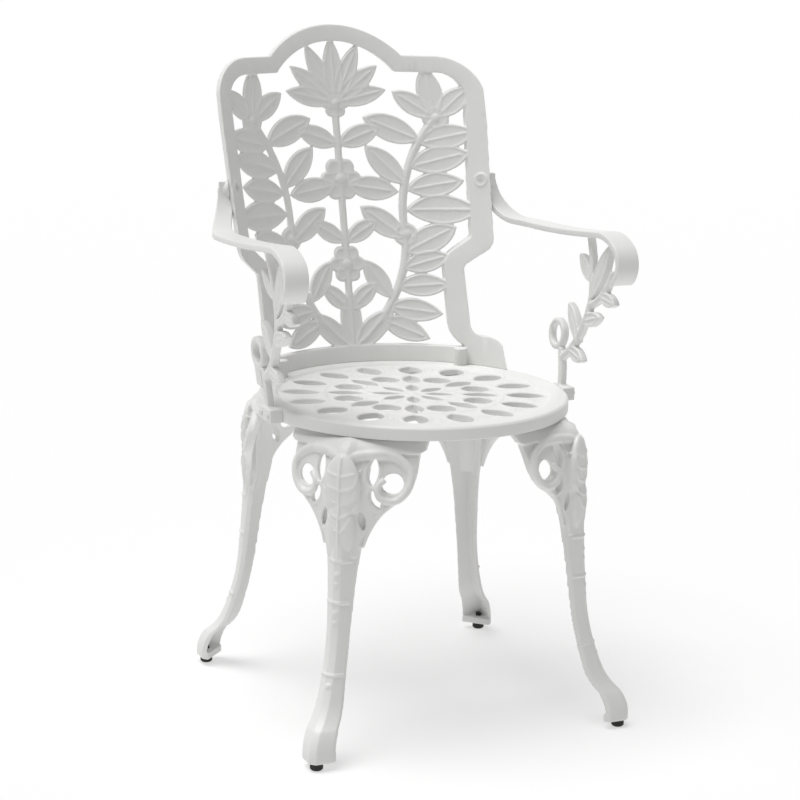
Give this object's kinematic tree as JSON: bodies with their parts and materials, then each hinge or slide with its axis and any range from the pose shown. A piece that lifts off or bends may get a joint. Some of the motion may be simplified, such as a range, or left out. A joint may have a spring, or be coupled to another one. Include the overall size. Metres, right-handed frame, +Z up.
{
  "type": "garden armchair",
  "caption": "Garden armchair of white cast aluminium: round pierced seat, curved pierced back, scrolled arms and flared corner legs on black pads",
  "frame": {"origin": "on the floor under the middle of the chair's bounding box", "axes": "+Z up, the chair faces -Y, +X is the sitter's left"},
  "size_m": [0.494, 0.5549, 0.9],
  "materials": {
    "white_coat": "satin powder coat on cast aluminium",
    "black_rubber": "matt",
    "zinc_steel": "zinc plated",
    "white_screw": "coated screw heads"
  },
  "bodies": {
    "root": {"back_panel": "white_coat", "seat_plate": "white_coat", "front_left_leg": "white_coat", "front_right_leg": "white_coat", "rear_left_leg": "white_coat", "rear_right_leg": "white_coat", "left_arm": "white_coat", "right_arm": "white_coat", "front_left_foot": "black_rubber", "front_right_foot": "black_rubber", "rear_left_foot": "black_rubber", "rear_right_foot": "black_rubber", "front_corner_bolts": "zinc_steel", "rear_corner_bolts": "zinc_steel", "leg_wing_bolts": "zinc_steel", "corner_washers": "zinc_steel", "wing_washers": "zinc_steel", "arm_back_nuts": "zinc_steel", "arm_back_washers": "zinc_steel", "arm_back_screws": "white_screw", "arm_seat_screws": "white_screw"}
  },
  "joints": []
}
